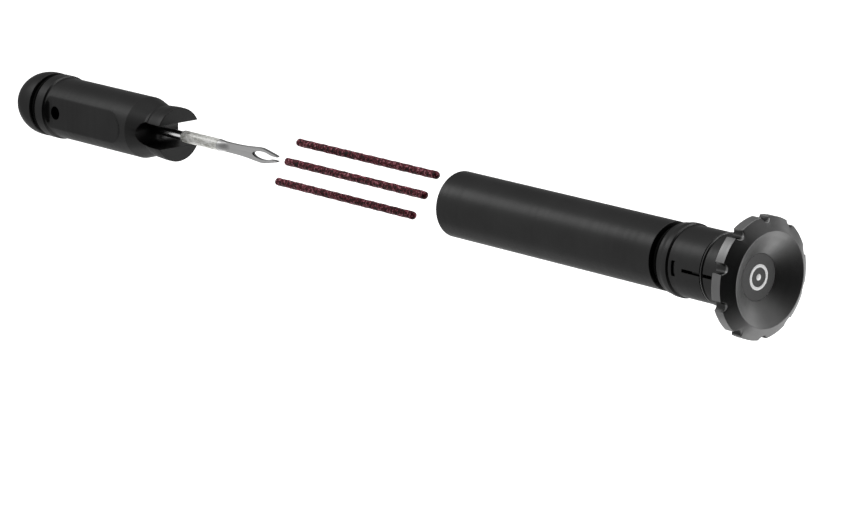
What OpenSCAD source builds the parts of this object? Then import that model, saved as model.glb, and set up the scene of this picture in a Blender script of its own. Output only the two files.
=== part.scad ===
// Bar-end tyre plug tool, laid out in line: a handle with a split-eye fork, three plug strings
// and the storage sleeve with its expanding bar-end lock and turning head.
// X runs along the tool towards the head. The origin is the middle of the pilot land, on the axis.

/* [Storage sleeve] */
// Outside diameter of the sleeve
sleeve_od = 16; // [15.8:0.1:16.2]
// Bore of the sleeve
sleeve_bore = 14.4; // [14.4:0.05:14.6]
// Length of the sleeve
sleeve_len = 70.2; // [69:0.1:76]
// Width of the sealing groove between the sleeve and the end plug
seal_groove_w = 2.4; // [2:0.1:2.6]

/* [Collet lock] */
// Diameter of the pilot land that centres the tool in the handlebar
pilot_od = 17.2; // [17.2:0.1:17.6]
// Length of the pilot land
pilot_land = 1.4; // [1:0.1:1.6]
// Outside diameter of the collet barrel
collet_od = 16.5; // [16.4:0.1:16.7]
// Distance from the middle of the pilot land to the back of the head
head_seat_x = 19.35; // [19.35:0.05:20.35]
// Number of slits, and so of petals, in the collet
slits = 3; // [2:1:4]
// Width of a slit
slit_w = 0.7; // [0.7:0.05:1]
// Taper of the wedge, in millimetres of radius for each millimetre of length
wedge_taper = 0.15; // [0.12:0.01:0.15]

/* [Head] */
// Outside diameter of the head
head_od = 27.9; // [26:0.1:30]
// Thickness of the fluted rim
rim_h = 2.7; // [2.5:0.1:3.2]
// Height of the crest over the back of the head
crest_h = 4.7; // [4.6:0.1:5.2]
// Diameter of the crest
crest_od = 22.1; // [20:0.1:22.5]
// Diameter of the flat floor of the dish
floor_od = 10.8; // [10:0.1:11.5]
// Height of the dish's floor over the back of the head
floor_h = 1.25; // [1.25:0.05:1.4]
// Number of grip flutes round the rim
flutes = 10; // [8:1:14]
// Radius of a flute
flute_r = 1.25; // [1:0.05:1.5]
// Depth of a flute
flute_depth = 1.1; // [0.8:0.05:1.2]

/* [Handle] */
// Diameter of the handle's body
handle_od = 16.2; // [16:0.1:16.4]
// Length of the body, from the collar to the shoulder's edge
handle_len = 35.6; // [34:0.1:40]
// Distance across the two flats
flats_w = 14; // [13.8:0.1:14.6]
// Diameter of the domed cap
dome_od = 17.16; // [17:0.02:17.18]
// Length of the dome
dome_len = 10.3; // [8:0.1:12]
// Diameter of the cross hole
cross_hole_d = 3.6; // [3:0.1:4]
// Diameter of the jaws, a running fit in the sleeve
jaw_od = 14.2; // [14.2:0.02:14.36]
// Width of the slot between the jaws
slot_w = 6.2; // [5.8:0.1:7.0]

/* [Fork] */
// Diameter of the shank
shank_d = 2.4; // [2.2:0.1:2.6]
// Diameter of the ferrule
ferrule_d = 3.15; // [3:0.05:3.4]
// Thickness of the blade
blade_t = 1; // [0.9:0.1:1.4]
// Greatest width of the blade
blade_w = 3.9; // [3.6:0.1:4.2]

/* [Plug strings] */
// Diameter of a plug string
plug_d = 2; // [1.8:0.1:2.2]
// Length of a plug string
plug_len = 51.8; // [48:0.1:52]

/* [Hidden] */
$fn = 96;

// Clearances: between bonded or screwed pieces, and for pieces that turn or slide on each other
bond_gap = 0.02;
run_gap = 0.05;
// How far a cutter runs past the face it cuts
over = 0.5;

// Black anodised metal, rubber, bare steel, brass, nylon and plug rubber
black = "#26272a";
rubber = "#141416";
steel = "#a9abad";
blasted = "#cfcfca";
brass = "#b8963e";
nylon = "#d8d6cc";
maroon = "#4b1420";

// Places along the lock
flange_x0 = -2.8;
lip_x = pilot_land / 2 + 0.1;
land_ramp = 0.9;
sleeve_x1 = flange_x0 - seal_groove_w;
sleeve_x0 = sleeve_x1 - sleeve_len;
end_plug_x0 = sleeve_x1 - 4.8;
collet_x0 = lip_x + bond_gap;
collet_x1 = head_seat_x - 0.45;
collet_spigot_r = 6.9;
collet_spigot_x1 = 4.6;
chamber_r = 4.2;
chamber_x0 = -2.15;
seal_floor_r = 6.35;
seal_r = 0.75;
slit_x0 = 5.1;
band_x = 10.95;
band_floor_r = 7.5;
band_r = 0.42;
window_x = 2.4;
window_len = 1;
window_angle = 25;
wedge_bore_r = 6.6;
wedge_cone_x0 = 10.5;
wedge_cone_x1 = collet_x1 - 0.5;

// Places of the lock's moving pieces, released
screw_r = 2.5;
screw_x0 = -0.5;
clip_x = 0.75;
clip_t = 0.7;
boss_r = 5;
seat_relief = 0.2;
seat_relief_r = 8.9;
boss_x0 = head_seat_x - 3.2;
screw_head_x0 = boss_x0 + 1.3;
screw_head_r = 4.04;
badge_t = 0.6;
badge_x0 = head_seat_x + floor_h - badge_t;
wedge_x0 = 6;
wedge_len = 7;
wedge_rim = 1;
wedge_r = wedge_bore_r - 0.15;
rib_w = slit_w - 0.2;
rib_r = 7.35;
nut_r = 4.6;
nut_len = 4;

// Places along the handle
shoulder_x = -194.2;
shoulder_len = 5;
shoulder_edge = 0.14;
neck_r = 6.6;
// Radius lost for each millimetre of the shoulder's cone. The sleeve's mouth is cut to the same cone.
shoulder_slope = (handle_od / 2 - shoulder_edge - neck_r) / shoulder_len;
mouth_cut = 0.55;
jaw_x0 = shoulder_x + 6.4;
jaw_x1 = shoulder_x + 11.9;
slot_root_x = shoulder_x + 2.8;
collar_x1 = shoulder_x - handle_len;
collar_x0 = collar_x1 - 3.4;
flat_x0 = collar_x1 + 1.4;
flat_x1 = shoulder_x - 6.3;
flat_end_r = 5;
collar_od = dome_od - 0.04;
cap_groove_w = 2.2;
cap_groove_r = 6.95;
cap_oring_r = 0.78;
cap_spigot_r = 5;
cap_spigot_len = 3.6;
cap_face_x = collar_x0 - cap_groove_w;
dome_x = cap_face_x - 1.4;
dome_steps = 24;
hole_x = collar_x1 + 3.7;
shank_x0 = slot_root_x - 14;

// Places along the fork
ferrule_x0 = jaw_x1 + 2.4;
blade_x0 = ferrule_x0 + 14.6;
blade_len = 22.9;
eye_x0 = 13.2;
eye_len = 7.4;
eye_half = 1;

// Each plug string's left end, and its place off the axis: clear of the fork and inside the bore
plug_top_at = [-134.9, 0, 5.6];
plug_middle_at = [-133.9, -4.75, 1.6];
plug_bottom_at = [-143.25, 0, -5.75];

// A body of revolution about X from points of [radius, x]
module turned(points) {
    rotate([0, 90, 0])
        rotate_extrude()
            polygon(points);
}

// A tube along X
module tube_x(outer_r, inner_r, x0, x1) {
    turned([[inner_r, x0], [outer_r, x0], [outer_r, x1], [inner_r, x1]]);
}

// A rod along X, or a prism with a small number of sides
module rod_x(r, x0, x1, sides = 96) {
    translate([x0, 0, 0])
        rotate([0, 90, 0])
            cylinder(r = r, h = x1 - x0, $fn = sides);
}

// A rubber ring of round section about X
module oring_x(ring_r, section_r, x) {
    translate([x, 0, 0])
        rotate([0, 90, 0])
            rotate_extrude()
                translate([ring_r, 0])
                    circle(r = section_r, $fn = 48);
}

// Places its children at each slit, the first one facing -Y
module at_slits() {
    for (i = [0 : slits - 1])
        rotate([i * 360 / slits, 0, 0])
            children();
}

// A sector of a ring about X, centred on -Y
module ring_sector(r0, r1, x0, x1, angle) {
    intersection() {
        tube_x(r1, r0, x0, x1);
        translate([x0, 0, 0])
            rotate([0, 90, 0])
                linear_extrude(x1 - x0)
                    polygon([
                        [0, 0],
                        [-2 * r1 * tan(angle / 2), -2 * r1],
                        [2 * r1 * tan(angle / 2), -2 * r1]
                    ]);
    }
}

module sleeve_tube() {
    bore_r = sleeve_bore / 2;
    outer_r = sleeve_od / 2;
    edge = 0.2;
    color(black)
        turned([
            [bore_r + mouth_cut, sleeve_x0], [outer_r - edge / 2, sleeve_x0], [outer_r, sleeve_x0 + edge],
            [outer_r, sleeve_x1 - edge], [outer_r - edge, sleeve_x1],
            [bore_r, sleeve_x1], [bore_r, sleeve_x0 + mouth_cut / shoulder_slope]
        ]);
}

module end_plug() {
    flange_r = collet_od / 2;
    land_r = pilot_od / 2;
    half_land = pilot_land / 2;
    tube_fit_r = sleeve_bore / 2 - bond_gap;
    spigot_r = collet_spigot_r - bond_gap;
    color(black) {
        difference() {
            turned([
                [0, end_plug_x0], [tube_fit_r - 0.4, end_plug_x0], [tube_fit_r, end_plug_x0 + 0.4],
                [tube_fit_r, sleeve_x1], [seal_floor_r, sleeve_x1], [seal_floor_r, flange_x0],
                [flange_r - 0.15, flange_x0], [flange_r, flange_x0 + 0.15],
                [flange_r, -half_land - land_ramp], [land_r, -half_land], [land_r, half_land],
                [land_r - 0.1, lip_x], [spigot_r, lip_x],
                [spigot_r, collet_spigot_x1], [0, collet_spigot_x1]
            ]);
            rod_x(chamber_r, chamber_x0, collet_spigot_x1 + over);
        }
        // Lugs that snap into the collet's windows
        at_slits()
            ring_sector(spigot_r - 0.3, 7.8, window_x - 0.42, window_x + 0.42, window_angle - 3);
    }
}

module sleeve_oring() {
    color(rubber)
        oring_x(seal_floor_r + seal_r + 0.02, seal_r, (sleeve_x1 + flange_x0) / 2);
}

module collet() {
    barrel_r = collet_od / 2;
    end_r = wedge_bore_r - wedge_taper * (wedge_cone_x1 - wedge_cone_x0);
    band_half = 0.46;
    color(black)
        difference() {
            turned([
                [collet_spigot_r, collet_x0], [barrel_r - 0.12, collet_x0], [barrel_r, collet_x0 + 0.12],
                [barrel_r, band_x - band_half], [band_floor_r, band_x - band_half],
                [band_floor_r, band_x + band_half], [barrel_r, band_x + band_half],
                [barrel_r, collet_x1 - 0.2], [barrel_r - 0.2, collet_x1],
                [end_r, collet_x1], [end_r, wedge_cone_x1], [wedge_bore_r, wedge_cone_x0],
                [wedge_bore_r, slit_x0 - 0.3], [collet_spigot_r, slit_x0 - 0.3]
            ]);
            at_slits() {
                translate([slit_x0, -barrel_r - over, -slit_w / 2])
                    cube([collet_x1 - slit_x0 + over, barrel_r, slit_w]);
                ring_sector(
                    collet_spigot_r - over, barrel_r + over,
                    window_x - window_len / 2, window_x + window_len / 2, window_angle
                );
            }
        }
}

module collet_oring() {
    color(rubber)
        oring_x(band_floor_r + band_r + 0.02, band_r, band_x);
}

module head_knob() {
    rim_r = head_od / 2;
    crest_r = crest_od / 2;
    floor_r = floor_od / 2;
    back = head_seat_x;
    color(black)
        difference() {
            turned([
                [0, boss_x0], [boss_r - 0.3, boss_x0], [boss_r, boss_x0 + 0.3],
                [boss_r, back + seat_relief], [seat_relief_r, back + seat_relief],
                [seat_relief_r, back], [rim_r - 0.25, back], [rim_r, back + 0.25], [rim_r, back + rim_h - 0.15],
                [rim_r - 0.15, back + rim_h],
                [crest_r, back + crest_h - 0.05], [crest_r - 0.1, back + crest_h],
                [crest_r - 0.2, back + crest_h], [crest_r - 0.3, back + crest_h - 0.1],
                [floor_r + 0.2, back + floor_h + 0.05], [floor_r, back + floor_h], [0, back + floor_h]
            ]);
            rod_x(screw_r + bond_gap, boss_x0 - over, back);
            rod_x(screw_head_r + bond_gap, screw_head_x0 - bond_gap, badge_x0 + over, 6);
            rod_x(floor_r, badge_x0, back + floor_h + over);
            for (i = [0 : flutes - 1])
                rotate([(i + 0.5) * 360 / flutes, 0, 0])
                    translate([0, -(rim_r - flute_depth + flute_r), 0])
                        rod_x(flute_r, back - over, back + crest_h);
        }
}

module head_badge() {
    color(black)
        rod_x(floor_od / 2 - bond_gap, badge_x0 + bond_gap, head_seat_x + floor_h);
}

module draw_screw() {
    color(steel)
        difference() {
            union() {
                turned([
                    [0, screw_x0], [screw_r - 0.4, screw_x0], [screw_r, screw_x0 + 0.4],
                    [screw_r, screw_head_x0 + 0.5], [0, screw_head_x0 + 0.5]
                ]);
                rod_x(screw_head_r, screw_head_x0, badge_x0 - bond_gap, 6);
            }
            tube_x(screw_r + over, screw_r - 0.45, clip_x, clip_x + clip_t);
        }
}

module stop_clip() {
    color(steel)
        difference() {
            tube_x(3.6, screw_r - 0.43, clip_x + 0.05, clip_x + clip_t - 0.05);
            translate([0, -1.2, 0])
                cube([clip_x + 2, 2.4, 4]);
        }
}

module thrust_washer() {
    color(nylon)
        tube_x(7.6, boss_r + 0.1, collet_x1 + run_gap, head_seat_x + seat_relief - 0.01);
}

module wedge_cone() {
    tip_r = wedge_r - wedge_taper * (wedge_len - wedge_rim);
    color(black)
        difference() {
            union() {
                turned([
                    [0, wedge_x0], [wedge_r - 0.2, wedge_x0], [wedge_r, wedge_x0 + 0.2],
                    [wedge_r, wedge_x0 + wedge_rim], [tip_r, wedge_x0 + wedge_len], [0, wedge_x0 + wedge_len]
                ]);
                // Ribs that run in the slits and keep the wedge from turning
                at_slits()
                    translate([wedge_x0 + 1.5, -rib_r, -rib_w / 2])
                        cube([4.5, rib_r - tip_r + 0.5, rib_w]);
            }
            rod_x(nut_r + bond_gap, wedge_x0 - over, wedge_x0 + nut_len + bond_gap, 6);
            rod_x(screw_r + 0.2, wedge_x0, wedge_x0 + wedge_len + over);
        }
}

module wedge_nut() {
    color(brass)
        difference() {
            rod_x(nut_r, wedge_x0, wedge_x0 + nut_len, 6);
            rod_x(screw_r + run_gap, wedge_x0 - over, wedge_x0 + nut_len + over);
        }
}

// One flat of the handle, cut on the -Y side, with a round end
module flat_cutter() {
    r = handle_od / 2;
    flat_half = sqrt(r * r - flats_w * flats_w / 4);
    end_x = flat_x1 - sqrt(flat_end_r * flat_end_r - flat_half * flat_half);
    translate([flat_x0, -r - 2, -flat_end_r])
        cube([end_x - flat_x0, 2 + r - flats_w / 2, 2 * flat_end_r]);
    translate([end_x, -flats_w / 2, 0])
        rotate([90, 0, 0])
            cylinder(r = flat_end_r, h = r);
}

module handle_body() {
    body_r = handle_od / 2;
    collar_r = collar_od / 2;
    jaw_r = jaw_od / 2;
    slot_x = slot_root_x + slot_w / 2;
    color(black)
        difference() {
            turned([
                [0, collar_x0], [collar_r - 0.25, collar_x0], [collar_r, collar_x0 + 0.25],
                [collar_r, collar_x1 - 0.4], [collar_r - 0.3, collar_x1],
                [body_r, collar_x1], [body_r, shoulder_x - 0.35], [body_r - shoulder_edge, shoulder_x],
                [neck_r, shoulder_x + shoulder_len], [neck_r, jaw_x0 - 0.5],
                [jaw_r, jaw_x0], [jaw_r, jaw_x1 - 0.15], [jaw_r - 0.15, jaw_x1], [0, jaw_x1]
            ]);
            flat_cutter();
            rotate([180, 0, 0])
                flat_cutter();
            // Slot between the jaws, with a round root
            translate([slot_x, -body_r - over, -slot_w / 2])
                cube([jaw_x1 - slot_x + over, 2 * (body_r + over), slot_w]);
            translate([slot_x, body_r + over, 0])
                rotate([90, 0, 0])
                    cylinder(d = slot_w, h = 2 * (body_r + over));
            // Cross hole, shank bore and the cap's socket
            translate([hole_x, body_r + over, 0])
                rotate([90, 0, 0])
                    cylinder(d = cross_hole_d, h = 2 * (body_r + over));
            rod_x(shank_d / 2 + bond_gap, shank_x0 - bond_gap, slot_x);
            rod_x(cap_spigot_r + bond_gap, collar_x0 - over, collar_x0 + cap_spigot_len + bond_gap);
        }
}

module handle_cap() {
    dome_r = dome_od / 2;
    color(black)
        turned([
            for (i = [0 : dome_steps])
                let (a = 90 * i / dome_steps)
                    [dome_r * sin(a), dome_x - dome_len * cos(a)],
            [dome_r, cap_face_x - 0.2], [dome_r - 0.2, cap_face_x],
            [cap_groove_r, cap_face_x], [cap_groove_r, collar_x0 - bond_gap],
            [cap_spigot_r, collar_x0 - bond_gap],
            [cap_spigot_r, collar_x0 + cap_spigot_len - 0.3],
            [cap_spigot_r - 0.3, collar_x0 + cap_spigot_len], [0, collar_x0 + cap_spigot_len]
        ]);
}

module handle_oring() {
    color(rubber)
        oring_x(cap_groove_r + cap_oring_r + 0.01, cap_oring_r, collar_x0 - cap_groove_w / 2);
}

// Outline of the blade in X and Z: a neck, a shoulder beside the eye and two tapering tines
module blade_outline() {
    neck_half = 1.33;
    wide_half = blade_w / 2;
    half = [
        [0, neck_half + 0.02], [5, neck_half], [9.5, neck_half + 0.1], [13, wide_half - 0.25],
        [15.5, wide_half - 0.02], [16.6, wide_half], [17.8, wide_half - 0.1],
        [21.4, 1.15], [blade_len - 0.3, 0.82], [blade_len, 0.62]
    ];
    polygon([
        each half,
        for (i = [len(half) - 1 : -1 : 0]) [half[i][0], -half[i][1]]
    ]);
}

// The eye between the tines: a pointed oval that opens at the tip
module eye_outline() {
    arc_r = (eye_len * eye_len / 4 + eye_half * eye_half) / (2 * eye_half);
    intersection() {
        translate([eye_x0 + eye_len / 2, arc_r - eye_half])
            circle(r = arc_r);
        translate([eye_x0 + eye_len / 2, eye_half - arc_r])
            circle(r = arc_r);
    }
    translate([eye_x0 + eye_len - 1.6, -0.42])
        square([blade_len - eye_x0 - eye_len + 1.6 + over, 0.84]);
}

module fork() {
    color(steel) {
        rod_x(shank_d / 2, shank_x0, blade_x0 + 0.2);
        translate([blade_x0, blade_t / 2, 0])
            rotate([90, 0, 0])
                linear_extrude(blade_t)
                    difference() {
                        blade_outline();
                        eye_outline();
                    }
    }
}

module fork_ferrule() {
    r = ferrule_d / 2;
    inner_r = shank_d / 2 + bond_gap;
    color(blasted)
        turned([
            [inner_r, ferrule_x0], [r - 0.25, ferrule_x0], [r, ferrule_x0 + 0.3],
            [r, blade_x0 - 0.1], [r - 0.08, blade_x0 - bond_gap], [inner_r, blade_x0 - bond_gap]
        ]);
}

module plug_string(at) {
    r = plug_d / 2;
    color(maroon)
        translate(at)
            turned([
                [0, 0], [r - 0.4, 0], [r - 0.12, 0.15], [r, 0.45],
                [r, plug_len - 0.45], [r - 0.12, plug_len - 0.15], [r - 0.4, plug_len], [0, plug_len]
            ]);
}

module plug_top() {
    plug_string(plug_top_at);
}

module plug_middle() {
    plug_string(plug_middle_at);
}

module plug_bottom() {
    plug_string(plug_bottom_at);
}

sleeve_tube();
end_plug();
sleeve_oring();
collet();
collet_oring();
head_knob();
head_badge();
draw_screw();
stop_clip();
thrust_washer();
wedge_cone();
wedge_nut();
handle_body();
handle_cap();
handle_oring();
fork();
fork_ferrule();
plug_top();
plug_middle();
plug_bottom();
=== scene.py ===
"""Looks of the bar-end tyre plug tool: handle and fork, three plug strings, sleeve and turning head.

The tool lies along X with its head at +X. Outlines are written in millimetres, as (x, radius) or
(x, radius, fillet) points, and the mesh builders turn them into metres.
"""

import math

import bmesh
import bpy
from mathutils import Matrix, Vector, noise


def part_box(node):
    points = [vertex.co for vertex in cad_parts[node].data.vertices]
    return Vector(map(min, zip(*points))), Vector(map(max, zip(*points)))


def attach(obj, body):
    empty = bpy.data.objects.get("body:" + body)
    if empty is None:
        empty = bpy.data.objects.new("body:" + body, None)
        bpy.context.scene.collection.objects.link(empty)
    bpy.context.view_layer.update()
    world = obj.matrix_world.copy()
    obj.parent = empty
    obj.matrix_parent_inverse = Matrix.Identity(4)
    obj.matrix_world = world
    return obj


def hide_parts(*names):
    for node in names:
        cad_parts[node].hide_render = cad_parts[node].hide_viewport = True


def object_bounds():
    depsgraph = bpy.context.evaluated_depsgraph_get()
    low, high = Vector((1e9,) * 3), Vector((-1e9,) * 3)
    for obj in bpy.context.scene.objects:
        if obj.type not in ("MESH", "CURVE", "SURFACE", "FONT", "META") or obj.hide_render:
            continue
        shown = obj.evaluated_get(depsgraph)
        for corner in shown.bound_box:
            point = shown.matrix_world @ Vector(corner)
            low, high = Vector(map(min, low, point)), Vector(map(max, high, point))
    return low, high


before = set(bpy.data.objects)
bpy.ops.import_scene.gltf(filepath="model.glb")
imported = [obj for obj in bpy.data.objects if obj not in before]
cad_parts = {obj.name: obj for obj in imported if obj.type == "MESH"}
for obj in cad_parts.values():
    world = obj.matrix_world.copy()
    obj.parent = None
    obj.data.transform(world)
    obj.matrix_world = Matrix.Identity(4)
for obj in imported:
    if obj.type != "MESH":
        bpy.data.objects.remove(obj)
cad_low, cad_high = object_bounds()
MM = 0.001


def low(node):
    """Lowest corner of a CAD node, in millimetres."""
    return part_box(node)[0] / MM


def high(node):
    """Highest corner of a CAD node, in millimetres."""
    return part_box(node)[1] / MM


# Places and radii that several pieces share
SLEEVE_X0 = low("sleeve_tube").x
SLEEVE_X1 = high("sleeve_tube").x
SLEEVE_R = high("sleeve_tube").z
BORE_R = 7.2
BARREL_R = SLEEVE_R + 0.25
LIP_X = low("collet").x
SLITS = 3
WINDOW_X = 2.4
WINDOW_HALF = 0.5
SPIGOT_R = 6.88
HEAD_BACK = high("collet").x + 0.45
RIM_R = 13.95
RIM_LEN = 2.7
CREST_R = 11.05
BADGE_R = 5.4
FLUTES = 10
FLUTE_R = 1.25
FLUTE_FLOOR_R = RIM_R - 1.1
COLLAR_X0 = low("handle_body").x
COLLAR_X1 = COLLAR_X0 + 3.4
SHOULDER_X = COLLAR_X0 + 39
JAW_X1 = high("handle_body").x
BODY_R = 8.1
SHANK_R = 1.2
BLADE_HALF = 0.5


# ---------------------------------------------------------------- camera

AZIMUTH = math.radians(47.58)
ELEVATION = math.radians(14.03)
CAMERA_DISTANCE = 0.879
LENS_MM = 156.4
SENSOR_MM = 36
LOOK_AT = Vector((SLEEVE_X0 - 3.3, -8.4, -13.8)) * MM


def make_camera():
    """A long lens that looks past the handle's side at the head's face, from a little above."""
    back = Vector((math.sin(AZIMUTH), -math.cos(AZIMUTH), math.tan(ELEVATION))).normalized()
    data = bpy.data.cameras.new("camera")
    data.lens = LENS_MM
    data.sensor_width = SENSOR_MM
    data.clip_start = 0.01
    camera = bpy.data.objects.new("camera", data)
    camera.location = LOOK_AT + back * CAMERA_DISTANCE
    camera.rotation_mode = "QUATERNION"
    camera.rotation_quaternion = (-back).to_track_quat("-Z", "Y")
    bpy.context.scene.collection.objects.link(camera)
    bpy.context.scene.camera = camera


make_camera()


# ---------------------------------------------------------------- mesh helpers


def mesh_piece(name, build):
    """A new piece whose mesh the function build(bm) makes in millimetres."""
    bm = bmesh.new()
    build(bm)
    bmesh.ops.recalc_face_normals(bm, faces=bm.faces)
    bmesh.ops.scale(bm, vec=(MM, MM, MM), verts=bm.verts)
    mesh = bpy.data.meshes.new(name)
    bm.to_mesh(mesh)
    bm.free()
    piece = bpy.data.objects.new(name, mesh)
    bpy.context.scene.collection.objects.link(piece)
    return piece


def rounded(points, steps=5):
    """The outline with each corner that has a fillet turned into a curve."""
    outline = []
    for i, point in enumerate(points):
        here = Vector(point[:2])
        if len(point) < 3:
            outline.append(here)
            continue
        before = Vector(points[i - 1][:2]) - here
        after = Vector(points[(i + 1) % len(points)][:2]) - here
        reach = point[2] / math.tan(before.angle(after) / 2)
        start = here + before.normalized() * min(reach, before.length * 0.49)
        end = here + after.normalized() * min(reach, after.length * 0.49)
        for k in range(steps + 1):
            t = k / steps
            outline.append(start * (1 - t) ** 2 + here * 2 * t * (1 - t) + end * t * t)
    return outline


def dense(outline, step, keep):
    """The outline with extra points, at most step apart, between neighbours that keep() accepts."""
    result = []
    for a, b in zip(outline, outline[1:]):
        result.append(a)
        if keep(a) and keep(b):
            parts = math.ceil((b - a).length / step)
            result += [a.lerp(b, k / parts) for k in range(1, parts)]
    return result + [outline[-1]]


def even_angles(count):
    """Angles spaced evenly round a circle, from 0."""
    return [2 * math.pi * i / count for i in range(count)]


def arc(radius, first, last, count):
    """Points on an arc about the origin, between two angles in degrees."""
    angles = [math.radians(first + (last - first) * k / count) for k in range(count + 1)]
    return [(radius * math.cos(a), radius * math.sin(a)) for a in angles]


def loft(name, sections):
    """A closed skin through sections of as many points each, with a cap on the first and the last."""

    def build(bm):
        rings = [[bm.verts.new(point) for point in section] for section in sections]
        bm.faces.new(rings[0])
        bm.faces.new(rings[-1][::-1])
        for a, b in zip(rings, rings[1:]):
            for i in range(len(a)):
                bm.faces.new((a[i], a[i - 1], b[i - 1], b[i]))

    return mesh_piece(name, build)


def lathe(name, outline, angles, reshape=None):
    """Turns an outline about X. It starts and ends on the axis, or closes on itself as a ring.

    reshape(x, radius, angle) gives the real radius at an angle. Angle 0 faces -Y, 90 degrees +Z.
    """

    def build(bm):
        rings = []
        for x, radius in outline:
            if radius < 1e-4:
                rings.append([bm.verts.new((x, 0, 0))])
                continue
            ring = []
            for angle in angles:
                r = reshape(x, radius, angle) if reshape else radius
                ring.append(bm.verts.new((x, -r * math.cos(angle), r * math.sin(angle))))
            rings.append(ring)
        pairs = list(zip(rings, rings[1:]))
        if len(rings[0]) > 1:
            pairs.append((rings[-1], rings[0]))
        for a, b in pairs:
            for i in range(len(angles)):
                j = (i + 1) % len(angles)
                corners = [a[i % len(a)], a[j % len(a)], b[j % len(b)], b[i % len(b)]]
                corners = list(dict.fromkeys(corners))
                if len(corners) > 2:
                    bm.faces.new(corners)

    return mesh_piece(name, build)


def prism(name, outline, y0, y1):
    """A closed outline of (x, z) points made solid between two places along Y."""
    return loft(name, [[(x, y, z) for x, z in outline] for y in (y0, y1)])


def rod(name, y, z, radius, x0, x1, sides=48):
    """A round bar along X."""
    circle = [(y + radius * math.cos(a), z + radius * math.sin(a)) for a in even_angles(sides)]
    return loft(name, [[(x, *point) for point in circle] for x in (x0, x1)])


def ring_block(name, r0, r1, x0, x1, half_angle, turn, count=16):
    """A curved block about X, centred on -Y and then turned by an angle."""
    corners = ((x0, r0), (x1, r0), (x1, r1), (x0, r1))
    sections = []
    for k in range(count + 1):
        a = turn + half_angle * (2 * k / count - 1)
        sections.append([(x, -r * math.cos(a), r * math.sin(a)) for x, r in corners])
    return loft(name, sections)


def apply_modifiers(piece):
    """Turns the result of the piece's modifiers into its mesh."""
    graph = bpy.context.evaluated_depsgraph_get()
    mesh = bpy.data.meshes.new_from_object(piece.evaluated_get(graph))
    piece.modifiers.clear()
    old = piece.data
    piece.data = mesh
    bpy.data.meshes.remove(old)


def cut(piece, cutters, weld=0.012, sliver=0.005, flat_angle=0.3):
    """Takes the cutters out of the piece, removes them, and cleans the seams that they leave."""
    for cutter in cutters:
        modifier = piece.modifiers.new("cut", "BOOLEAN")
        modifier.operation = "DIFFERENCE"
        modifier.solver = "EXACT"
        modifier.object = cutter
    apply_modifiers(piece)
    for cutter in cutters:
        bpy.data.objects.remove(cutter)
    bm = bmesh.new()
    bm.from_mesh(piece.data)
    bmesh.ops.remove_doubles(bm, verts=bm.verts, dist=weld * MM)
    bmesh.ops.dissolve_degenerate(bm, edges=bm.edges, dist=sliver * MM)
    limit = math.radians(flat_angle)
    bmesh.ops.dissolve_limit(bm, angle_limit=limit, verts=bm.verts, edges=bm.edges)
    bm.to_mesh(piece.data)
    bm.free()


def join(piece, others):
    """Adds the meshes of other pieces to one piece."""
    bm = bmesh.new()
    bm.from_mesh(piece.data)
    for other in others:
        bm.from_mesh(other.data)
        bpy.data.objects.remove(other)
    bm.to_mesh(piece.data)
    bm.free()


def finish_edges(piece, width=0.0, angle=50, segments=2, sharp_angle=38):
    """Rounds the edges sharper than angle by width, and shades all but the sharp ones smooth."""
    if width:
        bevel = piece.modifiers.new("bevel", "BEVEL")
        bevel.width = width * MM
        bevel.segments = segments
        bevel.limit_method = "ANGLE"
        bevel.angle_limit = math.radians(angle)
        bevel.use_clamp_overlap = False
        apply_modifiers(piece)
    piece.data.shade_smooth()
    piece.data.set_sharp_from_angle(angle=math.radians(sharp_angle))
    weighted = piece.modifiers.new("normals", "WEIGHTED_NORMAL")
    weighted.keep_sharp = True
    apply_modifiers(piece)


def smooth_min(a, b, blend):
    """The smaller of two radii, with the corner between them rounded."""
    h = max(blend - abs(a - b), 0) / blend
    return min(a, b) - h * h * blend / 4


def give(piece, body, material):
    """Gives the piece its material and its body."""
    piece.data.materials.clear()
    piece.data.materials.append(material)
    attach(piece, body)


def stand_for(piece, node, body, material):
    """Puts the piece in place of a CAD node."""
    give(piece, body, material)
    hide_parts(node)


# ---------------------------------------------------------------- materials

NOISE_LOW = 0.3
NOISE_HIGH = 0.7


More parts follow.
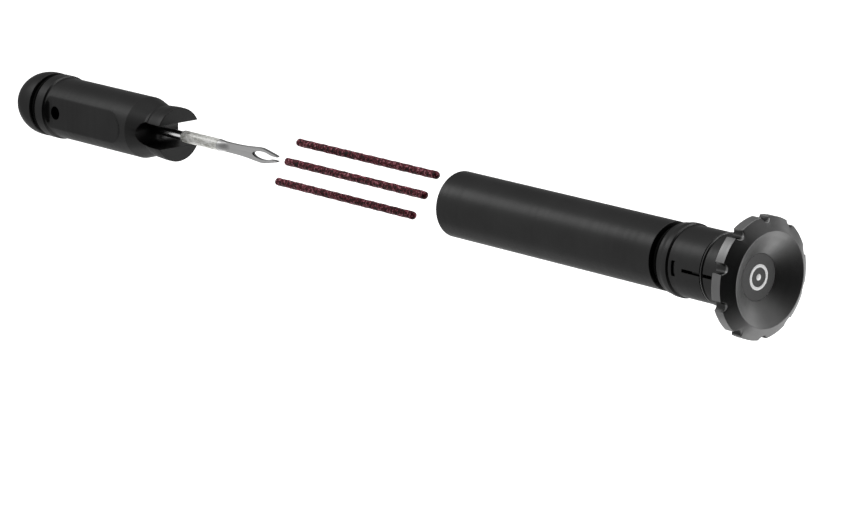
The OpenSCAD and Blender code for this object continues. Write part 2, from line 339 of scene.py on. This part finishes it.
class Graph:
    """Short calls for building a node material."""

    def __init__(self, name):
        self.material = bpy.data.materials.new(name)
        self.material.use_nodes = True
        self.tree = self.material.node_tree
        self.shader = self.tree.nodes["Principled BSDF"]
        self.place = self.add("ShaderNodeTexCoord").outputs["Object"]

    def add(self, kind, **values):
        node = self.tree.nodes.new(kind)
        for key, value in values.items():
            setattr(node, key, value)
        return node

    def set(self, **values):
        for key, value in values.items():
            self.shader.inputs[key.replace("_", " ")].default_value = value

    def feed(self, name, source):
        self.tree.links.new(source, self.shader.inputs[name])

    def stretch(self, x=1.0, y=1.0, z=1.0):
        """The piece's own coordinates, scaled."""
        node = self.add("ShaderNodeMapping")
        node.inputs["Scale"].default_value = (x, y, z)
        self.tree.links.new(self.place, node.inputs["Vector"])
        return node.outputs["Vector"]

    def noise(self, scale, detail=4, roughness=0.55, vector=None):
        node = self.add("ShaderNodeTexNoise")
        node.inputs["Scale"].default_value = scale
        node.inputs["Detail"].default_value = detail
        node.inputs["Roughness"].default_value = roughness
        self.tree.links.new(vector or self.place, node.inputs["Vector"])
        return node.outputs["Fac"]

    def cells(self, scale, vector=None):
        node = self.add("ShaderNodeTexVoronoi")
        node.inputs["Scale"].default_value = scale
        self.tree.links.new(vector or self.place, node.inputs["Vector"])
        return node.outputs["Distance"]

    def axes(self):
        """The piece's own x, y and z."""
        node = self.add("ShaderNodeSeparateXYZ")
        self.tree.links.new(self.place, node.inputs["Vector"])
        return node.outputs

    def math(self, operation, a, b=0):
        node = self.add("ShaderNodeMath", operation=operation)
        for socket, value in zip(node.inputs, (a, b)):
            if isinstance(value, (int, float)):
                socket.default_value = value
            else:
                self.tree.links.new(value, socket)
        return node.outputs["Value"]

    def span(self, value, in0, in1, out0, out1):
        node = self.add("ShaderNodeMapRange")
        for key, number in (("From Min", in0), ("From Max", in1), ("To Min", out0), ("To Max", out1)):
            node.inputs[key].default_value = number
        self.tree.links.new(value, node.inputs["Value"])
        return node.outputs["Result"]

    def ramp(self, value, stops):
        """A colour for each position of value."""
        node = self.add("ShaderNodeValToRGB")
        elements = node.color_ramp.elements
        while len(elements) < len(stops):
            elements.new(0.5)
        for element, (position, colour) in zip(elements, stops):
            element.position = position
            element.color = (*colour, 1)
        self.tree.links.new(value, node.inputs["Fac"])
        return node.outputs["Color"]

    def greys(self, cloud, dark, light):
        """Grey from dark to light over the middle of a noise's range."""
        return self.ramp(cloud, [(NOISE_LOW, grey(dark)), (NOISE_HIGH, grey(light))])

    def vary(self, cloud, least, most):
        """A value from least to most over the middle of a noise's range."""
        return self.span(cloud, NOISE_LOW, NOISE_HIGH, least, most)

    def blend(self, a, b, factor):
        """Colour a, turning into colour b where factor is 1."""
        node = self.add("ShaderNodeMix", data_type="RGBA")
        colours = [socket for socket in node.inputs if socket.type == "RGBA"]
        self.tree.links.new(factor, node.inputs[0])
        self.tree.links.new(a, colours[0])
        self.tree.links.new(b, colours[1])
        return next(socket for socket in node.outputs if socket.type == "RGBA")

    def bump(self, height, distance_mm, strength=1.0, under=None):
        node = self.add("ShaderNodeBump")
        node.inputs["Distance"].default_value = distance_mm * MM
        node.inputs["Strength"].default_value = strength
        self.tree.links.new(height, node.inputs["Height"])
        if under:
            self.tree.links.new(under, node.inputs["Normal"])
        return node.outputs["Normal"]


def grey(tone):
    return (tone, tone, tone)


def anodised(name, tone, roughness, edge):
    """Black anodised aluminium: a fine blasted grain and faint turning marks in the sheen."""
    g = Graph(name)
    cloud = g.noise(90, 3)
    marks = g.noise(900, 2, vector=g.stretch(y=0.02, z=0.02))
    g.feed("Base Color", g.greys(cloud, tone * 0.92, tone * 1.08))
    g.feed("Roughness", g.vary(marks, roughness - 0.03, roughness + 0.03))
    g.feed("Normal", g.bump(g.noise(9000, 2), 0.004, 0.5))
    g.set(Metallic=1.0, Specular_Tint=(edge, edge, edge, 1))
    return g.material


def turned_head():
    """The head's thin satin anodising over bright turned metal, with painted light in the dish (a paler
    tone there) and painted shade in the flutes (a dark tone there).
    """
    g = Graph("anodised_head")
    x, y, z = g.axes()
    radius = g.math("SQRT", g.math("ADD", g.math("POWER", y, 2), g.math("POWER", z, 2)))
    bevel_x = HEAD_BACK + RIM_LEN
    behind_bevel = g.span(x, (bevel_x + 0.2) * MM, (bevel_x - 0.1) * MM, 0, 1)
    below_rim = g.span(radius, (RIM_R - 0.15) * MM, (RIM_R - 0.4) * MM, 0, 1)
    above_back = g.span(radius, (FLUTE_FLOOR_R - 0.65) * MM, (FLUTE_FLOOR_R - 0.35) * MM, 0, 1)
    flute = g.math("MULTIPLY", g.math("MULTIPLY", behind_bevel, below_rim), above_back)
    dish = g.span(radius, (CREST_R - 0.05) * MM, (CREST_R - 0.35) * MM, 0, 1)
    cloud = g.noise(120, 3)
    rim_grey = g.greys(cloud, 0.17, 0.205)
    # Painted light: the dish's paler grey stands in for light in the hollow.
    dish_painted_light_grey = g.greys(cloud, 0.23, 0.28)
    # Painted shade: the flutes' dark grey stands in for the shade inside the grooves.
    flute_painted_shade_grey = g.greys(cloud, 0.035, 0.045)
    g.feed("Base Color", g.blend(g.blend(rim_grey, dish_painted_light_grey, dish), flute_painted_shade_grey, flute))
    rings = g.noise(1500, 2, vector=g.stretch(y=0.02, z=0.02))
    satin = g.vary(rings, 0.3, 0.38)
    g.feed("Roughness", g.math("ADD", satin, g.math("MULTIPLY", dish, 0.07)))
    g.feed("Normal", g.bump(g.noise(8000, 2), 0.003, 0.4))
    g.set(Metallic=1.0, Specular_Tint=(0.6, 0.6, 0.6, 1))
    return g.material


def rubber(name, roughness, gloss):
    """Black rubber whose sheen and roughness are given per copy; a copy with almost no sheen is painted
    shade.
    """
    g = Graph(name)
    g.feed("Base Color", g.ramp(g.noise(400, 4), [(0.35, grey(0.002)), (0.75, grey(0.006))]))
    g.feed("Normal", g.bump(g.noise(4000, 3), 0.01, 0.5))
    g.set(Roughness=roughness, Specular_IOR_Level=gloss)
    return g.material


def steel(name, tone, roughness, depth=0.004):
    """Bare steel with fine lines along the tool."""
    g = Graph(name)
    lines = g.noise(2500, 3, vector=g.stretch(x=0.03))
    g.feed("Base Color", g.greys(lines, tone * 0.9, tone * 1.06))
    g.feed("Roughness", g.vary(lines, roughness * 0.8, roughness * 1.2))
    g.feed("Normal", g.bump(lines, depth, 0.4))
    g.set(Metallic=1.0)
    return g.material


def fork_steel():
    """Satin steel blade whose punched edges are darker than its two faces."""
    g = Graph("fork_steel")
    off_middle = g.math("ABSOLUTE", g.axes()["Y"])
    face = g.span(off_middle, (BLADE_HALF - 0.08) * MM, (BLADE_HALF - 0.02) * MM, 0, 1)
    lines = g.noise(2500, 3, vector=g.stretch(x=0.03))
    g.feed("Base Color", g.blend(g.greys(lines, 0.06, 0.1), g.greys(lines, 0.42, 0.52), face))
    g.feed("Roughness", g.vary(lines, 0.28, 0.4))
    g.feed("Normal", g.bump(lines, 0.004, 0.4))
    g.set(Metallic=1.0)
    return g.material


def blasted_steel():
    """Pale blasted steel with a worn, streaky knurl."""
    g = Graph("blasted_steel")
    streaks = g.noise(1100, 4, 0.7, vector=g.stretch(x=0.35))
    stops = [(0.36, (0.33, 0.33, 0.3)), (0.5, (0.66, 0.66, 0.63)), (0.64, (0.9, 0.9, 0.88))]
    g.feed("Base Color", g.ramp(streaks, stops))
    g.feed("Roughness", g.vary(streaks, 0.42, 0.6))
    g.feed("Normal", g.bump(streaks, 0.06, 0.7))
    g.set(Metallic=0.8)
    return g.material


def plug_rubber():
    """Tacky maroon rubber over plied fibres: dark, with pale specks where the fibres show."""
    g = Graph("plug_rubber")
    speck = g.noise(1700, 3, 0.6)
    stops = [
        (0.4, (0.014, 0.0004, 0.0015)),
        (0.5, (0.09, 0.003, 0.01)),
        (0.57, (0.22, 0.02, 0.04)),
        (0.66, (0.6, 0.25, 0.3)),
    ]
    g.feed("Base Color", g.ramp(speck, stops))
    fibres = g.bump(g.cells(2600), 0.08, 0.7)
    g.feed("Normal", g.bump(speck, 0.1, 0.8, fibres))
    g.set(Roughness=0.55, Specular_IOR_Level=0.18)
    return g.material


def machined(name, colour, roughness, metallic):
    """A turned or moulded inner piece: slight mottling and a fine grain."""
    g = Graph(name)
    cloud = g.noise(500, 3)
    darker = [channel * 0.86 for channel in colour]
    g.feed("Base Color", g.ramp(cloud, [(NOISE_LOW, darker), (NOISE_HIGH, colour)]))
    g.feed("Roughness", g.vary(cloud, roughness - 0.05, roughness + 0.05))
    g.feed("Normal", g.bump(g.noise(5000, 2), 0.006, 0.5))
    g.set(Metallic=metallic)
    return g.material


BLACK = anodised("anodised_black", tone=0.046, roughness=0.38, edge=0.5)
HANDLE_BLACK = anodised("anodised_handle", tone=0.044, roughness=0.42, edge=0.5)
HEAD_METAL = turned_head()
BADGE = anodised("badge_grey", tone=0.115, roughness=0.38, edge=0.6)
MARK = machined("mark_grey", grey(0.95), roughness=0.35, metallic=1.0)
# Two copies of one rubber: the dull one, with almost no sheen, is painted shade for the rings sunk in
# grooves; the glossy one is the lit copy.
SHADED_RUBBER = rubber("seal_rubber", roughness=0.8, gloss=0.06)
LIT_RUBBER = rubber("seal_rubber_lit", roughness=0.3, gloss=0.6)
STEEL = steel("steel", tone=0.36, roughness=0.34)
FORK_STEEL = fork_steel()
POLISHED = steel("polished_steel", tone=0.95, roughness=0.2, depth=0.0008)
BLASTED = blasted_steel()
PLUG = plug_rubber()
BRASS = machined("brass", (0.62, 0.44, 0.17), roughness=0.3, metallic=1.0)
NYLON = machined("nylon", (0.7, 0.68, 0.62), roughness=0.5, metallic=0.0)


# ---------------------------------------------------------------- storage sleeve and lock


def make_sleeve_tube():
    mouth_cone, mouth_len = 0.55, 2.02
    outline = rounded(
        [
            (SLEEVE_X0, BORE_R + mouth_cone, 0.05),
            (SLEEVE_X0, SLEEVE_R, 0.2),
            (SLEEVE_X1, SLEEVE_R, 0.15),
            (SLEEVE_X1, BORE_R),
            (SLEEVE_X0 + mouth_len, BORE_R, 0.6),
        ]
    )
    tube = lathe("sleeve_tube_skin", outline, even_angles(192))
    finish_edges(tube)
    stand_for(tube, "sleeve_tube", "sleeve", BLACK)


def make_end_plug():
    x0 = low("end_plug").x
    x1 = high("end_plug").x
    land_r = high("end_plug").z
    fit_r = BORE_R - 0.02
    groove_r, flange_x = 6.35, -2.8
    chamber_x, chamber_r = -2.15, 4.2
    lug_half, lug_r, lug_half_angle = 0.42, 7.8, math.radians(11)
    outline = rounded(
        [
            (x0, 0),
            (x0, fit_r, 0.3),
            (SLEEVE_X1, fit_r),
            (SLEEVE_X1, groove_r, 0.15),
            (flange_x, groove_r, 0.15),
            (flange_x, BARREL_R, 0.25),
            (flange_x + 0.9, BARREL_R + 0.06, 3),
            (flange_x + 2, land_r, 3),
            (LIP_X - 0.38, land_r, 0.1),
            (LIP_X - 0.02, land_r - 0.32, 0.04),
            (LIP_X - 0.02, SPIGOT_R),
            (x1, SPIGOT_R, 0.2),
            (x1, chamber_r, 0.2),
            (chamber_x, chamber_r),
            (chamber_x, 0),
        ]
    )
    plug = lathe("end_plug_skin", outline, even_angles(160))
    lugs = []
    lug_x = (WINDOW_X - lug_half, WINDOW_X + lug_half)
    for turn in even_angles(SLITS):
        lug = ring_block("lug", SPIGOT_R - 0.3, lug_r, *lug_x, lug_half_angle, turn)
        finish_edges(lug, 0.08)
        lugs.append(lug)
    finish_edges(plug)
    join(plug, lugs)
    stand_for(plug, "end_plug", "sleeve", BLACK)


def make_collet():
    x1 = high("collet").x
    band_x = (low("collet_oring").x + high("collet_oring").x) / 2
    band_half, band_floor_r = 0.48, 7.5
    wedge_bore_r, cone_x, end_r = 6.6, 10.5, 5.43
    spigot_end = 4.8
    slit_x, slit_half_angle = 5.1, 0.35 / 7.5
    window_x = (WINDOW_X - WINDOW_HALF, WINDOW_X + WINDOW_HALF)
    window_half_angle = math.radians(12.5)
    outside_r = 9.5
    outline = rounded(
        [
            (LIP_X, SPIGOT_R + 0.02),
            (LIP_X, BARREL_R, 0.12),
            (band_x - band_half, BARREL_R, 0.14),
            (band_x - band_half, band_floor_r, 0.2),
            (band_x + band_half, band_floor_r, 0.2),
            (band_x + band_half, BARREL_R, 0.14),
            (x1, BARREL_R, 0.2),
            (x1, end_r),
            (x1 - 0.5, end_r),
            (cone_x, wedge_bore_r),
            (spigot_end, wedge_bore_r),
            (spigot_end, SPIGOT_R + 0.02),
        ]
    )
    collet = lathe("collet_skin", outline, even_angles(144))
    cutters = []
    for turn in even_angles(SLITS):
        cutters.append(ring_block("slit", 4.5, outside_r, slit_x, x1 + 1, slit_half_angle, turn))
        cutters.append(ring_block("window", 6.2, outside_r, *window_x, window_half_angle, turn))
    cut(collet, cutters)
    finish_edges(collet, 0.06)
    stand_for(collet, "collet", "sleeve", BLACK)


def make_oring(node, body, material, sunk=0.0):
    """A rubber ring of round section with a faint mould line, sunk into its groove."""
    x = (low(node).x + high(node).x) / 2
    section = (high(node).x - low(node).x) / 2
    ring_r = high(node).z - section - sunk
    mould_line = 0.02
    outline = []
    for angle in even_angles(28):
        r = section + (0 if angle else mould_line)
        outline.append(Vector((x + r * math.sin(angle), ring_r + r * math.cos(angle))))
    ring = lathe(f"{node}_skin", outline, even_angles(120))
    finish_edges(ring)
    stand_for(ring, node, body, material)


# ---------------------------------------------------------------- head


def make_head():
    boss_x, boss_r = low("head_knob").x, 5
    crest_x = high("head_knob").x
    floor_x = high("head_badge").x
    recess_r = BADGE_R + 0.02
    seat_x, seat_r = HEAD_BACK + 0.2, 8.9
    outline = rounded(
        [
            (boss_x, 0),
            (boss_x, boss_r, 0.3),
            (seat_x, boss_r),
            (seat_x, seat_r),
            (HEAD_BACK, seat_r, 0.1),
            (HEAD_BACK, RIM_R, 0.28),
            (HEAD_BACK + RIM_LEN, RIM_R, 0.16),
            (crest_x, CREST_R, 0.16),
            (crest_x, CREST_R - 0.22, 0.12),
            (floor_x + 0.02, recess_r, 0.08),
            (floor_x - 0.25, recess_r),
            (floor_x - 0.25, 0),
        ],
        steps=6,
    )
    knob = lathe("head_knob_skin", outline, even_angles(200))
    flutes = []
    centre_r = FLUTE_FLOOR_R + FLUTE_R
    for i in range(FLUTES):
        turn = (i + 0.5) * 2 * math.pi / FLUTES
        y, z = -centre_r * math.cos(turn), centre_r * math.sin(turn)
        flutes.append(rod("flute", y, z, FLUTE_R, HEAD_BACK - 1, crest_x + 1))
    cut(knob, flutes)
    finish_edges(knob, 0.16, 45, 3)
    stand_for(knob, "head_knob", "head", HEAD_METAL)


def make_badge():
    """The disc on the dish's floor, with a plain ring and dot on it."""
    x0 = low("head_badge").x
    x1 = high("head_badge").x
    outline = rounded([(x0, 0), (x0, BADGE_R - 0.1), (x1 - 0.02, BADGE_R, 0.05), (x1 - 0.02, 0)])
    badge = lathe("head_badge_skin", outline, even_angles(128))
    finish_edges(badge)
    stand_for(badge, "head_badge", "head", BADGE)
    back, front = x1 - 0.03, x1 + 0.03
    ring_r0, ring_r1, dot_r = 2.2, 2.95, 0.75
    ring = [(back, ring_r0), (front, ring_r0, 0.02), (front, ring_r1, 0.02), (back, ring_r1)]
    dot = [(back, 0), (back, dot_r), (front, dot_r, 0.02), (front, 0)]
    for name, outline, sides in (("head_mark_ring", ring, 96), ("head_mark_dot", dot, 48)):
        piece = lathe(name, rounded(outline), even_angles(sides))
        finish_edges(piece)
        give(piece, "head", MARK)


# ---------------------------------------------------------------- handle

FLAT_HALF = 7
FLAT_X0 = COLLAR_X1 + 1.4
FLAT_END = SHOULDER_X - 9.2
FLAT_END_R = 5
FLAT_EDGE = 0.22
SHOULDER_R = 7.93
NECK_R = 6.5
JAW_R = 7.1
SLOT_HALF = 3.1
SLOT_ROOT_X = SHOULDER_X + 2.8
HOLE_R = 1.8
HOLE_X = COLLAR_X1 + 3.7


def handle_radius(x, radius, angle):
    """The body's radius with its two flats: a ramp at the collar, a round run-out to the shoulder."""
    facing = abs(math.cos(angle))
    if facing < 0.5 or not COLLAR_X1 < x < FLAT_END + 7 or radius > BODY_R + 0.3:
        return radius
    z = radius * math.sin(angle)
    past_end = x - FLAT_END - math.sqrt(max(FLAT_END_R**2 - z * z, 0)) + 1.6
    before_start = FLAT_X0 - x
    depth = FLAT_HALF + 0.11 * max(past_end, 0) ** 2 + 0.85 * max(before_start, 0)
    return smooth_min(radius, depth / facing, FLAT_EDGE)


def make_handle_body():
    collar_r = high("handle_body").z
    outline = rounded(
        [
            (COLLAR_X0, 0),
            (COLLAR_X0, collar_r, 0.25),
            (COLLAR_X1 - 0.15, collar_r, 0.3),
            (COLLAR_X1 + 0.25, BODY_R, 0.4),
            (SHOULDER_X - 0.6, BODY_R, 0.6),
            (SHOULDER_X, SHOULDER_R, 0.6),
            (SHOULDER_X + 5, NECK_R, 1.2),
            (SHOULDER_X + 5.9, NECK_R, 0.8),
            (SHOULDER_X + 6.6, JAW_R - 0.2, 1),
            (JAW_X1 - 2, JAW_R, 8),
            (JAW_X1, JAW_R - 0.02, 0.18),
            (JAW_X1, 0),
        ]
    )
    outline = dense(outline, 0.45, lambda point: point.y > 5 and point.x < SHOULDER_X)
    body = lathe("handle_body_skin", outline, even_angles(180), handle_radius)
    slot = [(JAW_X1 + 2, -SLOT_HALF), (JAW_X1 + 2, SLOT_HALF)]
    slot += [(SLOT_ROOT_X + SLOT_HALF + x, z) for x, z in arc(SLOT_HALF, 90, 270, 32)]
    hole = [(HOLE_X + x, z) for x, z in arc(HOLE_R, 0, 360, 48)[:-1]]
    through = 12
    cut(body, [prism("slot", slot, -through, through), prism("hole", hole, -through, through)])
    finish_edges(body, 0.07)
    stand_for(body, "handle_body", "handle", HANDLE_BLACK)


def make_handle_cap():
    """The domed end, with the seal's groove and the stub that screws into the body behind it."""
    tip = low("handle_cap").x
    end = high("handle_cap").x
    r = high("handle_cap").z
    dome_len = 10.3
    groove_x0, groove_x1, groove_r = COLLAR_X0 - 2.2, COLLAR_X0 - 0.02, 6.95
    stub_r = 5
    dome = [(tip + dome_len * (1 - x), r * z) for x, z in arc(1, 0, 90, 32)]
    rest = [
        (groove_x0, r, 0.25),
        (groove_x0, groove_r, 0.2),
        (groove_x1, groove_r),
        (groove_x1, stub_r),
        (end, stub_r, 0.3),
        (end, 0),
    ]
    cap = lathe("handle_cap_skin", rounded(dome + rest), even_angles(144))
    finish_edges(cap)
    stand_for(cap, "handle_cap", "handle", HANDLE_BLACK)


# ---------------------------------------------------------------- fork


def spline(points, steps=6):
    """A smooth curve through the points, by the Catmull-Rom formula."""
    curve = []
    for i in range(len(points) - 1):
        a = Vector(points[max(i - 1, 0)])
        b = Vector(points[i])
        c = Vector(points[i + 1])
        d = Vector(points[min(i + 2, len(points) - 1)])
        for k in range(steps):
            t = k / steps
            curve.append(
                b
                + (c - a) * t / 2
                + (a - b * 2.5 + c * 2 - d / 2) * t * t
                + (b * 1.5 - a / 2 - c * 1.5 + d / 2) * t**3
            )
    return curve + [Vector(points[-1])]


def make_forged_root(root):
    """The length over which the round shank is forged flat into the blade."""
    rows, length = 16, 5
    angles = even_angles(48)
    start_r, end_half_y, end_half_z = 1.52, 0.49, 1.27
    sections = []
    for k in range(rows + 1):
        t = k / rows
        flat = t * t * (3 - 2 * t)
        half_y = start_r + (end_half_y - start_r) * flat
        half_z = start_r + (end_half_z - start_r) * flat
        x = root - 0.2 + length * t
        sections.append([(x, -half_y * math.cos(a), half_z * math.sin(a)) for a in angles])
    forged = loft("forged_root", sections)
    finish_edges(forged)
    return forged


def make_fork():
    """The flat blade with its pointed eye, split at the tip, and the polished shank behind it."""
    blade_len = 22.9
    tip = high("fork").x
    root = tip - blade_len
    outer = spline(
        [
            (root, 1.35),
            (root + 5, 1.33),
            (root + 9.5, 1.43),
            (root + 13, 1.7),
            (root + 15.5, 1.92),
            (root + 16.6, 1.95),
            (root + 17.8, 1.85),
            (root + 21.4, 1.13),
            (tip - 0.35, 0.86),
            (tip, 0.6),
        ]
    )
    inner = spline(
        [
            (tip, 0.42),
            (root + 21, 0.42),
            (root + 20, 0.55),
            (root + 18.6, 0.88),
            (root + 17, 1),
            (root + 15.4, 0.88),
            (root + 14.2, 0.6),
            (root + 13.5, 0.3),
            (root + 13.2, 0),
        ]
    )
    top = outer + inner
    lower = [Vector((point.x, -point.y)) for point in reversed(top[:-1])]
    blade = prism("fork_skin", top + lower, -BLADE_HALF, BLADE_HALF)
    finish_edges(blade, 0.18, 60)
    join(blade, [make_forged_root(root)])
    stand_for(blade, "fork", "handle", FORK_STEEL)
    start, end = low("fork").x, root + 0.3
    outline = rounded([(start, 0), (start, SHANK_R, 0.2), (end, SHANK_R, 0.2), (end, 0)])
    shank = lathe("fork_shank", outline, even_angles(64))
    finish_edges(shank)
    give(shank, "handle", POLISHED)


def make_ferrule():
    """The ferrule, with a low crossed knurl worn almost smooth."""
    x0 = low("fork_ferrule").x
    x1 = high("fork_ferrule").x
    knurl_depth, ridges, twist = 0.02, 12, 3
    r = high("fork_ferrule").z - knurl_depth
    bore_r = SHANK_R + 0.02

    def knurl(x, radius, angle):
        if radius < r - 0.01 or x - x0 < 0.6 or x1 - x < 0.4:
            return radius
        crossed = math.cos(ridges * angle + twist * x) * math.cos(ridges * angle - twist * x)
        return radius + knurl_depth * crossed

    outline = rounded([(x0, bore_r), (x0, r, 0.3), (x1, r), (x1, bore_r)])
    outline = dense(outline, 0.18, lambda point: point.y > r - 0.01)
    ferrule = lathe("fork_ferrule_skin", outline, even_angles(144), knurl)
    finish_edges(ferrule)
    stand_for(ferrule, "fork_ferrule", "handle", BLASTED)


# ---------------------------------------------------------------- plug strings


def make_plug(node, body, seed):
    """A plug string: three plies under a lumpy coat of rubber, with rounded ends."""
    x0, x1 = low(node).x, high(node).x
    centre = (low(node) + high(node)) / 2
    r = (high(node).z - low(node).z) / 2
    row_step, sides, end_len = 0.22, 40, 0.8
    plies, ply_height, twist = 3, 0.035, 1.4
    lumps = ((0.05, 1.6), (0.03, 4.5))
    thickest, end_share = 1.04, 0.12
    shift = Vector((seed * 37.1, seed * 11.7, seed * 5.3))
    rows = round((x1 - x0) / row_step)
    sections = []
    for i in range(rows + 1):
        x = x0 + (x1 - x0) * i / rows
        from_end = min(x - x0, x1 - x)
        end = math.sqrt(1 - (1 - min(from_end / end_len, 1)) ** 2)
        section = []
        for a in even_angles(sides):
            ply = ply_height * math.cos(plies * a + x * twist)
            spot = Vector((x, 1.3 * math.cos(a), 1.3 * math.sin(a)))
            lump = sum(height * noise.noise(spot * scale + shift) for height, scale in lumps)
            radius = min(r * 0.99 + ply + lump, r * thickest) * (end_share + (1 - end_share) * end)
            section.append((x, centre.y - radius * math.cos(a), centre.z + radius * math.sin(a)))
        sections.append(section)
    plug = loft(f"{node}_skin", sections)
    plug.data.shade_smooth()
    stand_for(plug, node, body, PLUG)


# ---------------------------------------------------------------- all pieces

make_sleeve_tube()
make_end_plug()
make_collet()
make_oring("sleeve_oring", "sleeve", SHADED_RUBBER, sunk=0.45)
make_oring("collet_oring", "sleeve", LIT_RUBBER)
make_head()
make_badge()
make_handle_body()
make_handle_cap()
make_oring("handle_oring", "handle", SHADED_RUBBER, sunk=0.35)
make_fork()
make_ferrule()
for seed, place in enumerate(("top", "middle", "bottom"), start=1):
    make_plug(f"plug_{place}", f"string_{place}", seed)

# The lock's inner pieces keep their CAD shape
INNER = {
    "draw_screw": STEEL,
    "stop_clip": STEEL,
    "thrust_washer": NYLON,
    "wedge_cone": BLACK,
    "wedge_nut": BRASS,
}
for node, material in INNER.items():
    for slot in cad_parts[node].material_slots:
        slot.material = material


# ---------------------------------------------------------------- stage and light


FLOOR_R = 0.85
FLOOR_CENTRE = (-0.35, 0.78, cad_low.z - 0.15)
FLOOR_GLOW = 0.84
WHITE_BEHIND = 1.02


def make_floor():
    """A white disc below the tool and behind it, as the camera sees it."""
    bm = bmesh.new()
    bmesh.ops.create_circle(bm, cap_ends=True, segments=128, radius=FLOOR_R)
    bmesh.ops.translate(bm, vec=FLOOR_CENTRE, verts=bm.verts)
    mesh = bpy.data.meshes.new("floor")
    bm.to_mesh(mesh)
    bm.free()
    floor = bpy.data.objects.new("floor", mesh)
    bpy.context.scene.collection.objects.link(floor)
    g = Graph("floor_white")
    g.feed("Base Color", g.greys(g.noise(6, 2), 0.86, 0.9))
    g.set(Roughness=0.9, Emission_Color=(1, 1, 1, 1), Emission_Strength=FLOOR_GLOW)
    mesh.materials.append(g.material)


def area_light(name, place, size, radiance):
    """A soft box that faces the middle of the tool. Its power follows from its area and radiance."""
    target = Vector((-0.1, 0, 0))
    data = bpy.data.lights.new(name, "AREA")
    data.shape = "RECTANGLE"
    data.size, data.size_y = size
    data.energy = radiance * math.pi * size[0] * size[1]
    light = bpy.data.objects.new(name, data)
    light.location = place
    light.rotation_mode = "QUATERNION"
    light.rotation_quaternion = (target - Vector(place)).to_track_quat("-Z", "Y")
    bpy.context.scene.collection.objects.link(light)


def make_world():
    """White to the camera. It lights the tool from the handle's end, and is dark where the head faces."""
    world = bpy.data.worlds.new("studio")
    world.use_nodes = True
    nodes = world.node_tree.nodes
    links = world.node_tree.links
    direction = nodes.new("ShaderNodeTexCoord").outputs["Generated"]

    def level(axis, start, end, low_value, high_value):
        """A value that changes smoothly with how far a direction points along the axis."""
        toward = nodes.new("ShaderNodeVectorMath")
        toward.operation = "DOT_PRODUCT"
        toward.inputs[1].default_value = axis
        links.new(direction, toward.inputs[0])
        shade = nodes.new("ShaderNodeMapRange")
        shade.interpolation_type = "SMOOTHSTEP"
        shade.inputs["From Min"].default_value = start
        shade.inputs["From Max"].default_value = end
        shade.inputs["To Min"].default_value = low_value
        shade.inputs["To Max"].default_value = high_value
        links.new(toward.outputs["Value"], shade.inputs["Value"])
        return shade.outputs["Result"]

    both = nodes.new("ShaderNodeMath")
    both.operation = "MULTIPLY"
    toward_handle = level((-1, 0, 0), -0.3, 0.8, 0.33, 0.72)
    toward_camera = level((0.72, -0.66, 0.1), 0.12, 0.74, 1.0, 0.05)
    links.new(toward_handle, both.inputs[0])
    links.new(toward_camera, both.inputs[1])
    seen = nodes.new("ShaderNodeMix")
    links.new(nodes.new("ShaderNodeLightPath").outputs["Is Camera Ray"], seen.inputs["Factor"])
    links.new(both.outputs["Value"], seen.inputs["A"])
    seen.inputs["B"].default_value = WHITE_BEHIND
    links.new(seen.outputs["Result"], nodes["Background"].inputs["Strength"])
    nodes["Background"].inputs["Color"].default_value = (1, 1, 1, 1)
    bpy.context.scene.world = world
    bpy.context.scene.view_settings.view_transform = "Standard"


make_floor()
make_world()
area_light("upper_left", place=(-0.985, -0.52, 0.76), size=(0.45, 0.5), radiance=2.6)
area_light("upper_back", place=(0.1, 0.85, 0.98), size=(0.5, 0.3), radiance=6.0)
area_light("right_back", place=(0.35, 1.2, 0.12), size=(0.5, 0.6), radiance=1.3)
area_light("overhead", place=(0.25, 0.2, 1.7), size=(0.9, 0.9), radiance=3.2)
